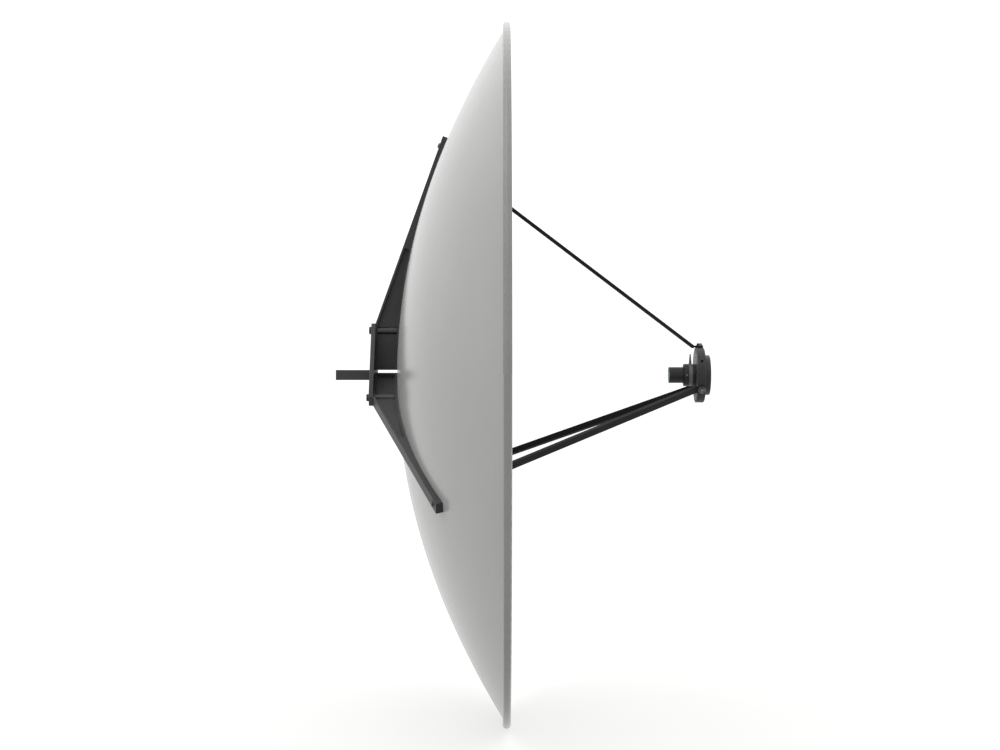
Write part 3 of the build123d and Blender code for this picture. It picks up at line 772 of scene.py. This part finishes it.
@dataclass(frozen=True)
class NutSet:
    """Three nuts of one size, each on the axis of its bolt."""

    node: str
    flats: float
    bolts: BoltSet
    first_twist: float = 5.0
    next_twist: float = 23.0

    def build(self) -> None:
        """Model and place the three nuts, each turned a little differently."""
        bolts = seats(self.bolts.node, self.bolts.axis)
        nuts = seats(self.node, lambda spoke, _points: bolts[spoke].axis)
        for number, (spoke, seat) in enumerate(nuts.items()):
            nut = HexBlock(self.flats, seat.length).build()
            twist = radians(self.next_twist * number + self.first_twist)
            piece = placed_copy(nut, facing(seat.foot, seat.axis, twist))
            discard(nut)
            name = f"{self.node[:-1]}_{spoke.name.lower()}"
            hand_over(piece, name, Body.ANTENNA, self.bolts.finish, (self.node,))


@dataclass
class Fasteners:
    """Every bolt and nut of the dish, its frame and its feed ring."""

    hub: BoltSet = BoltSet("hub_bolts", ahead, 0.0080, 0.024, 0.009, 0.002, 9, finish=BLACK_STEEL)
    tip: BoltSet = BoltSet("tip_bolts", lengthwise, 0.0050, 0.016, 0.0064, 0.0015, 7)
    leg: BoltSet = BoltSet("leg_screws", outward, 0.0050, 0.019, 0.0065, 0.00175, 6, True)

    def build(self) -> None:
        """Build each set in turn."""
        nuts = (NutSet("hub_nuts", self.hub.flats, self.hub),
                NutSet("tip_nuts", self.tip.flats, self.tip))
        for group in (self.hub, self.tip, self.leg, *nuts):
            group.build()


# --- Reflector and frame ----------------------------------------------------------------------


@dataclass
class RimBead:
    """The rim bead in a darker copy of the gel coat that paints shade, with the shell's own gel coat
    carried over its rear slope.
    """

    rearward: float = -0.5
    slope_width: float = 0.011

    def build(self) -> None:
        """Copy the bead in its painted-shade gel coat and lay the shell's finish on the faces that
        continue the shell.
        """
        piece = merged_copy("rim_bead")
        deselect()
        # The bead's darker copy of the gel coat is painted shade.
        hand_over(piece, "rim_bead_dressed", Body.ANTENNA, SHADED_RIM_GEL_COAT,
                  ("rim_bead",), crease=32.0)
        piece.data.materials.append(GEL_COAT.material())
        inner = min(hypot(vertex.co.y, vertex.co.z) for vertex in piece.data.vertices)
        for face in piece.data.polygons:
            radius = hypot(face.center.y, face.center.z)
            if face.normal.x < self.rearward and radius < inner + self.slope_width:
                face.material_index = 1


@dataclass
class BrokenEdges:
    """A CAD piece copied with its sharp edges broken, as a deburred or cast one has them."""

    node: str
    body: Body
    edge: float
    corner: float = 30.0
    flatness: float = 0.8
    crease: float = 32.0

    def build(self) -> None:
        """Copy the node, merge its triangles into faces and bevel its corners."""
        piece = merged_copy(self.node)
        bpy.ops.mesh.dissolve_limited(angle_limit=radians(self.flatness))
        deselect()
        apply_modifier(piece, "BEVEL", width=self.edge, segments=2, limit_method="ANGLE",
                       angle_limit=radians(self.corner), use_clamp_overlap=True)
        slot = SLOTS[self.node]
        hand_over(piece, f"{self.node}_edged", self.body, NODE_FINISHES[slot], (self.node,),
                  crease=self.crease)


@dataclass
class WeldBeads:
    """Rippled fillet welds between the ribs, the stub and the rear plate."""

    radius: float = 0.0042
    ripple: float = 0.0032
    waist: float = 0.86
    rise: float = 0.35
    end_rise: float = 0.3
    end_scale: float = 0.7
    rib_start_gap: float = 0.003
    rib_end_gap: float = 0.005
    stub_gap: float = 0.002
    sides: int = 10

    def build(self) -> None:
        """Lay the beads of the three ribs and of the stub."""
        plate_low, plate_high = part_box("rear_plate")
        rib_low, rib_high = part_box("rib_top")
        stub_low, stub_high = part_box("mount_stub")
        root = rib_low.z + self.rib_start_gap
        half_rib = (rib_high.y - rib_low.y) / 2
        long_bead = self._bead(plate_high.z - root - self.rib_end_gap)
        for spoke in Spoke:
            out = round_axis(spoke.value)
            across = out.cross(Vector((1.0, 0.0, 0.0)))
            for side, label in ((-1, "a"), (1, "b")):
                start = Vector((plate_high.x, 0.0, 0.0)) + out * root + across * side * half_rib
                piece = placed_copy(long_bead, facing(start, out))
                self._lay(piece, f"rib_weld_{spoke.name.lower()}_{label}")
        discard(long_bead)
        half = (stub_high.z - stub_low.z) / 2
        short_bead = self._bead(2 * (half - self.stub_gap))
        for turn, label in ((0, "top"), (90, "right"), (180, "bottom"), (270, "left")):
            edge = round_axis(turn)
            along = edge.cross(Vector((1.0, 0.0, 0.0)))
            start = Vector((plate_low.x, 0.0, 0.0)) + edge * half - along * (half - self.stub_gap)
            self._lay(placed_copy(short_bead, facing(start, along)), f"stub_weld_{label}")
        discard(short_bead)

    def _lay(self, piece: bpy.types.Object, name: str) -> None:
        """Dress one bead and mount it on the antenna.

        Args:
            piece: the bead in its place.
            name: its name in the table.
        """
        hand_over(piece, name, Body.ANTENNA, WELD_PAINT, crease=60.0)

    def _bead(self, length: float) -> bpy.types.Object:
        """Model one straight bead along Z, with a rounded start, ripples and a crater end.

        Args:
            length: the bead's length.

        Returns:
            The bead, from zero up.
        """
        bead = cylinder(self.radius * self.waist, 0.0, self.ripple / 2, self.sides)
        edit_end(bead)
        for _ in range(round(length / self.ripple) - 1):
            raise_faces(self.rise * self.ripple, 1 / self.waist)
            raise_faces((1 - self.rise) * self.ripple, self.waist)
        raise_faces(self.end_rise * self.ripple, self.end_scale)
        deselect()
        edit_end(bead, -1)
        raise_faces(-self.end_rise * self.ripple, self.end_scale)
        deselect()
        return bead


# --- Feed ---------------------------------------------------------------------------------------


@dataclass
class CableSockets:
    """Two F-type sockets with hexagon, thread ridges, bore and centre contact.

    The ridges' pitch is 0.9 mm where the real thread has 0.79 mm, so that each ridge shows.
    """

    angles: tuple[float, float] = (252.0, 288.0)
    radius: float = 0.00476
    flats: float = 0.011
    hex_height: float = 0.002
    root_depth: float = 0.003
    length: float = 0.011
    pitch: float = 0.0009
    turns: int = 9
    bore: float = 0.0026
    bore_depth: float = 0.008
    contact_radius: float = 0.0004
    contact_inset: float = 0.002

    def build(self) -> None:
        """Model one socket and place it at each angle on the rear cover."""
        low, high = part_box("cable_sockets")
        cover_low, cover_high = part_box("rear_cover")
        middle_x = (low.x + high.x) / 2
        seat_radius = (cover_high.z - cover_low.z) / 2
        nut = HexBlock(self.flats, self.hex_height).build()
        rod = ThreadedRod(self.radius, -self.root_depth, self.length, self.pitch, self.turns,
                          self.bore, self.bore_depth).build()
        contact = cylinder(self.contact_radius, self.length - self.bore_depth - MM,
                           self.length - self.contact_inset, 12)
        edit_end(contact)
        raise_faces(self.contact_radius, 0.4)
        deselect()
        socket = joined([nut, rod, contact])
        for number, angle in enumerate(self.angles):
            out = round_axis(angle)
            place = facing(Vector((middle_x, 0.0, 0.0)) + out * seat_radius, out, pi / 6)
            hand_over(placed_copy(socket, place), f"cable_socket_{number + 1}", Body.CARRIAGE,
                      NICKEL, ("cable_sockets",))
        discard(socket)


@dataclass
class DegreeScale:
    """Raised tick marks on the feed ring's face that the index fin points at."""

    half_range: int = 45
    step: int = 5
    long_step: int = 15
    inner: float = 0.0765
    short: float = 0.004
    long: float = 0.007
    width: float = 0.0009
    height: float = 0.0004

    def build(self) -> None:
        """Model each tick as a small bevelled bar, and join them."""
        face_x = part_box("scalar_cover")[0].x
        ticks = []
        for angle in range(-self.half_range, self.half_range + 1, self.step):
            length = self.short if angle % self.long_step else self.long
            deselect()
            bpy.ops.mesh.primitive_cube_add(size=1.0)
            tick = bpy.context.object
            tick.dimensions = (2 * self.height, self.width, length)
            tick.location = (face_x, 0.0, self.inner + length / 2)
            bpy.ops.object.transform_apply(location=True, rotation=True, scale=True)
            apply_modifier(tick, "BEVEL", width=self.height / 3, segments=1)
            ticks.append(placed_copy(tick, Matrix.Rotation(radians(angle), 4, "X")))
            discard(tick)
        hand_over(joined(ticks), "degree_scale", Body.ANTENNA, PTFE)


@dataclass
class CoverMoulding:
    """A raised ring and a drip vent moulded on the rear cover's end face."""

    ring_radius: float = 0.038
    ring_width: float = 0.003
    ring_height: float = 0.0009
    ring_chamfer: float = 0.0004
    sunk: float = 0.0005
    vent_radius: float = 0.0045
    vent_height: float = 0.0012
    vent_chamfer: float = 0.0005
    vent_wall: float = 0.0012
    vent_depth: float = 0.001
    vent_sunk: float = 0.0002
    vent_drop: float = 0.055

    def build(self) -> None:
        """Build the ring and the vent, and join them on the cover."""
        back_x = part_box("rear_cover")[1].x
        ring = self._ring()
        vent = self._vent()
        forward = Vector((1.0, 0.0, 0.0))
        low_point = Vector((back_x - self.vent_sunk, 0.0, -self.vent_drop))
        pieces = [placed_copy(ring, facing(Vector((back_x, 0.0, 0.0)), forward)),
                  placed_copy(vent, facing(low_point, forward))]
        discard(ring)
        discard(vent)
        hand_over(joined(pieces), "cover_moulding", Body.CARRIAGE, COVER_PLASTIC)

    def _ring(self) -> bpy.types.Object:
        """Model the ring as a disc with a chamfered edge and a floor a little above the cover.

        Returns:
            The ring, standing on the XY plane.
        """
        slope = 1 - self.ring_chamfer / self.ring_radius
        ring = cylinder(self.ring_radius, -self.sunk, self.ring_height / 2, 96)
        edit_end(ring)
        raise_faces(self.ring_height / 2, slope)
        bpy.ops.mesh.inset(thickness=self.ring_width, depth=0.0)
        raise_faces(-0.6 * self.ring_height, slope)
        deselect()
        return ring

    def _vent(self) -> bpy.types.Object:
        """Model the vent as a short tube with a chamfered lip.

        Returns:
            The vent, standing on the XY plane.
        """
        vent = cylinder(self.vent_radius, -self.sunk, self.vent_height)
        edit_end(vent)
        raise_faces(self.vent_chamfer, 0.86)
        bpy.ops.mesh.inset(thickness=self.vent_wall, depth=0.0)
        raise_faces(-self.vent_depth, 0.9)
        deselect()
        return vent


EDGED = (
    BrokenEdges("rear_plate", Body.ANTENNA, 1.2 * MM),
    BrokenEdges("mount_stub", Body.ANTENNA, 0.8 * MM),
    BrokenEdges("rib_top", Body.ANTENNA, 1.0 * MM),
    BrokenEdges("rib_right", Body.ANTENNA, 1.0 * MM),
    BrokenEdges("rib_left", Body.ANTENNA, 1.0 * MM),
    BrokenEdges("rib_end_caps", Body.ANTENNA, 0.6 * MM),
    BrokenEdges("strut_top", Body.ANTENNA, 0.8 * MM),
    BrokenEdges("strut_right", Body.ANTENNA, 0.8 * MM),
    BrokenEdges("strut_left", Body.ANTENNA, 0.8 * MM),
    BrokenEdges("scalar_ring", Body.ANTENNA, 0.7 * MM),
    BrokenEdges("lock_collar", Body.POLARISER, 0.6 * MM),
    BrokenEdges("index_pointer", Body.POLARISER, 0.6 * MM),
)


# --- Stage --------------------------------------------------------------------------------


@dataclass
class Studio:
    """Glowing pale floor, white surroundings, one soft key light and the camera."""

    floor_span: float = 120.0
    floor_hex: str = "#898988"
    floor_glow: float = 0.62
    glow_colour: tuple[float, float, float, float] = (1.0, 1.0, 0.995, 1.0)
    sky_low: float = 1.12
    sky_high: float = 2.0
    key_place: tuple[float, float, float] = (-4.0, -1.5, 6.0)
    key_target: tuple[float, float, float] = (0.3, 0.0, 0.2)
    key_size: float = 6.0
    key_watts: float = 110.0
    camera_distance: float = 6.677
    camera_ahead: float = 0.559
    camera_reach: float = 500.0
    lens: float = 67.18
    sensor: float = 36.0

    def build(self) -> None:
        """Make the floor, the lights and the camera."""
        self._floor()
        self._sky()
        self._key_light()
        self._camera()
        bpy.context.scene.view_settings.view_transform = "Standard"
        LOG.info("studio made")

    def _floor(self) -> None:
        """Lay the floor under the dish's lowest point; its glow keeps the shadows faint."""
        bpy.ops.mesh.primitive_plane_add(size=self.floor_span, location=(0, 0, CAD_BOX[0].z))
        floor = bpy.context.object
        floor.name = "studio_floor"
        paint = Finish("matt_studio_floor", self.floor_hex, self.floor_hex, (0.85, 0.95),
                       specular=0.1, patch_mm=2000.0, grain_mm=40.0, grain_height_mm=0.01)
        surface = paint.material()
        shader = surface.node_tree.nodes["Principled BSDF"]
        shader.inputs["Emission Color"].default_value = self.glow_colour
        shader.inputs["Emission Strength"].default_value = self.floor_glow
        floor.data.materials.append(surface)

    def _sky(self) -> None:
        """Make white surroundings that brighten upwards."""
        world = bpy.data.worlds.new("white_studio")
        world.use_nodes = True
        tree = world.node_tree
        place = add_node(tree, "ShaderNodeTexCoord")
        height = add_node(tree, "ShaderNodeSeparateXYZ", None, {"Vector": place.outputs["Generated"]})
        glow = add_node(tree, "ShaderNodeMapRange", {"To Min": self.sky_low, "To Max": self.sky_high},
                        {"Value": height.outputs["Z"]})
        background = tree.nodes["Background"]
        background.inputs["Color"].default_value = (1.0, 1.0, 1.0, 1.0)
        tree.links.new(glow.outputs["Result"], background.inputs["Strength"])
        bpy.context.scene.world = world

    def _key_light(self) -> None:
        """Hang one square soft light above and behind the dish, aimed at its middle."""
        light = bpy.data.lights.new("key_light", "AREA")
        light.size = self.key_size
        light.energy = self.key_watts
        lamp = bpy.data.objects.new("key_light", light)
        lamp.location = self.key_place
        aim = Vector(self.key_target) - Vector(self.key_place)
        lamp.rotation_euler = aim.to_track_quat("-Z", "Y").to_euler()
        bpy.context.scene.collection.objects.link(lamp)

    def _camera(self) -> None:
        """Set the camera level with the boresight, square to it."""
        lens = bpy.data.cameras.new("side_camera")
        lens.lens = self.lens
        lens.sensor_width = self.sensor
        lens.clip_end = self.camera_reach
        camera = bpy.data.objects.new("side_camera", lens)
        camera.location = (self.camera_ahead, -self.camera_distance, 0.0)
        camera.rotation_euler = (pi / 2, 0.0, 0.0)
        bpy.context.scene.collection.objects.link(camera)
        bpy.context.scene.camera = camera


def main() -> None:
    """Build the sub-assemblies in order."""
    logging.basicConfig(level=logging.INFO, format="%(message)s")
    dress_nodes()
    RimBead().build()
    for part in EDGED:
        part.build()
    for group in (Fasteners(), WeldBeads(), CableSockets(), DegreeScale(), CoverMoulding()):
        group.build()
    Studio().build()


if __name__ == "__main__":
    main()
